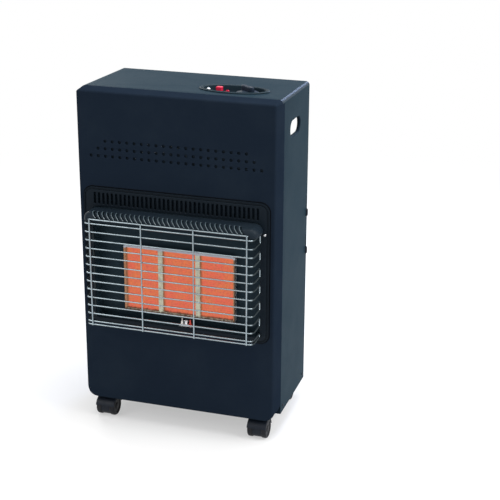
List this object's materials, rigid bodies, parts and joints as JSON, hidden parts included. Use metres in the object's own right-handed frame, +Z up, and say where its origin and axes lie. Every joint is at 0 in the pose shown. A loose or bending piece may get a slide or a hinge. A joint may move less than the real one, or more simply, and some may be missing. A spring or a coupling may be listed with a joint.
{
  "type": "portable gas cabinet heater",
  "caption": "Sheet-steel cabinet heater on castors with a glowing ceramic burner behind a wire guard, and a belted gas cylinder in its open back.",
  "frame": {"origin": "on the floor, under the middle of the whole width and depth, guard and rear platform included", "axes": "+Z up; the burner faces -Y and the cylinder bay is open to +Y; +X is on the right of someone facing the burner"},
  "size_m": [0.428, 0.4594, 0.73],
  "materials": {
    "cabinet_paint": "semi-gloss dark blue-black powder coat",
    "black_enamel": "matt black heat-proof enamel",
    "guard_chrome": "bright plating",
    "galvanised_steel": "galvanised sheet, faint spangle",
    "burner_steel": "heat-stained bare steel",
    "glowing_ceramic": "perforated ceramic, glowing orange",
    "white_ceramic": "glazed white",
    "brass": "machined",
    "copper": "drawn copper tube",
    "zinc_casting": "zinc die casting",
    "black_plastic": "moulded, fine grain",
    "red_plastic": "moulded, glossy",
    "orange_rubber": "smooth gas hose",
    "cylinder_paint": "glossy blue paint",
    "wheel_nylon": "moulded nylon"
  },
  "bodies": {
    "root": {"cabinet_shell": "cabinet_paint", "front_panel": "cabinet_paint", "base_pan": "cabinet_paint", "rear_platform": "cabinet_paint", "heat_shield": "galvanised_steel", "burner_surround": "black_enamel", "burner_housing": "black_enamel", "deflector_hood": "black_enamel", "wire_guard": "guard_chrome", "burner_plenum": "galvanised_steel", "plaque_left": "glowing_ceramic", "plaque_centre": "glowing_ceramic", "plaque_right": "glowing_ceramic", "burner_frame": "burner_steel", "gas_manifold": "brass", "pilot_burner": "burner_steel", "spark_electrode": "white_ceramic", "thermocouple": "copper", "gas_valve": "zinc_casting", "control_panel": "cabinet_paint", "igniter_body": "black_plastic", "inlet_nozzle": "brass", "supply_pipe": "galvanised_steel", "pilot_pipe": "copper", "thermocouple_lead": "copper", "ignition_lead": "black_plastic", "gas_hose": "orange_rubber", "hose_clamp_valve": "guard_chrome", "hose_clamp_regulator": "guard_chrome", "cylinder_body": "cylinder_paint", "cylinder_collar": "cylinder_paint", "cylinder_foot_ring": "cylinder_paint", "cylinder_valve": "brass", "regulator_body": "zinc_casting", "castor_front_left_plate": "galvanised_steel", "castor_front_right_plate": "galvanised_steel", "castor_rear_left_plate": "galvanised_steel", "castor_rear_right_plate": "galvanised_steel", "castor_tail_plate": "galvanised_steel"},
    "valve_spindle": {"valve_spindle": "brass"},
    "control_knob": {"control_knob": "black_plastic"},
    "igniter_button": {"igniter_button": "red_plastic"},
    "retaining_belt": {"retaining_belt": "cabinet_paint"},
    "regulator_switch": {"regulator_switch": "black_plastic"},
    "castor_front_left_swivel": {"castor_front_left_hood": "black_plastic"},
    "castor_front_left_wheels": {"castor_front_left_wheel_a": "wheel_nylon", "castor_front_left_wheel_b": "wheel_nylon"},
    "castor_front_right_swivel": {"castor_front_right_hood": "black_plastic"},
    "castor_front_right_wheels": {"castor_front_right_wheel_a": "wheel_nylon", "castor_front_right_wheel_b": "wheel_nylon"},
    "castor_rear_left_swivel": {"castor_rear_left_hood": "black_plastic"},
    "castor_rear_left_wheels": {"castor_rear_left_wheel_a": "wheel_nylon", "castor_rear_left_wheel_b": "wheel_nylon"},
    "castor_rear_right_swivel": {"castor_rear_right_hood": "black_plastic"},
    "castor_rear_right_wheels": {"castor_rear_right_wheel_a": "wheel_nylon", "castor_rear_right_wheel_b": "wheel_nylon"},
    "castor_tail_swivel": {"castor_tail_hood": "black_plastic"},
    "castor_tail_wheels": {"castor_tail_wheel_a": "wheel_nylon", "castor_tail_wheel_b": "wheel_nylon"}
  },
  "joints": [
    {"name": "knob_turn", "type": "hinge", "parent": "root", "child": "valve_spindle", "pos_m": [0.12, -0.08729, 0.704], "axis": [0, 0, 1], "range_deg": [0, 225]},
    {"name": "knob_press", "type": "slide", "parent": "valve_spindle", "child": "control_knob", "axis": [0, 0, -1], "range_m": [0, 0.005], "stiffness_N_per_m": 900, "springref_m": -0.006},
    {"name": "igniter_press", "type": "slide", "parent": "root", "child": "igniter_button", "axis": [0, 0, -1], "range_m": [0, 0.003], "stiffness_N_per_m": 1500, "springref_m": -0.004},
    {"name": "belt_lift", "type": "slide", "parent": "root", "child": "retaining_belt", "axis": [0, 0, 1], "range_m": [0, 0.025]},
    {"name": "regulator_switch_turn", "type": "hinge", "parent": "root", "child": "regulator_switch", "pos_m": [0, 0.07871, 0.6101], "axis": [0, 1, 0], "range_deg": [0, 90]},
    {"name": "castor_front_left_swivel_turn", "type": "hinge", "parent": "root", "child": "castor_front_left_swivel", "pos_m": [-0.17, -0.14129, 0.046], "axis": [0, 0, 1], "continuous": true},
    {"name": "castor_front_left_roll", "type": "hinge", "parent": "castor_front_left_swivel", "child": "castor_front_left_wheels", "pos_m": [-0.17, -0.15529, 0.02], "axis": [1, 0, 0], "continuous": true},
    {"name": "castor_front_right_swivel_turn", "type": "hinge", "parent": "root", "child": "castor_front_right_swivel", "pos_m": [0.17, -0.14129, 0.046], "axis": [0, 0, 1], "continuous": true},
    {"name": "castor_front_right_roll", "type": "hinge", "parent": "castor_front_right_swivel", "child": "castor_front_right_wheels", "pos_m": [0.17, -0.15529, 0.02], "axis": [1, 0, 0], "continuous": true},
    {"name": "castor_rear_left_swivel_turn", "type": "hinge", "parent": "root", "child": "castor_rear_left_swivel", "pos_m": [-0.17, 0.01071, 0.046], "axis": [0, 0, 1], "continuous": true},
    {"name": "castor_rear_left_roll", "type": "hinge", "parent": "castor_rear_left_swivel", "child": "castor_rear_left_wheels", "pos_m": [-0.17, 0.02471, 0.02], "axis": [1, 0, 0], "continuous": true},
    {"name": "castor_rear_right_swivel_turn", "type": "hinge", "parent": "root", "child": "castor_rear_right_swivel", "pos_m": [0.17, 0.01071, 0.046], "axis": [0, 0, 1], "continuous": true},
    {"name": "castor_rear_right_roll", "type": "hinge", "parent": "castor_rear_right_swivel", "child": "castor_rear_right_wheels", "pos_m": [0.17, 0.02471, 0.02], "axis": [1, 0, 0], "continuous": true},
    {"name": "castor_tail_swivel_turn", "type": "hinge", "parent": "root", "child": "castor_tail_swivel", "pos_m": [0, 0.19271, 0.046], "axis": [0, 0, 1], "continuous": true},
    {"name": "castor_tail_roll", "type": "hinge", "parent": "castor_tail_swivel", "child": "castor_tail_wheels", "pos_m": [0, 0.20671, 0.02], "axis": [1, 0, 0], "continuous": true}
  ]
}
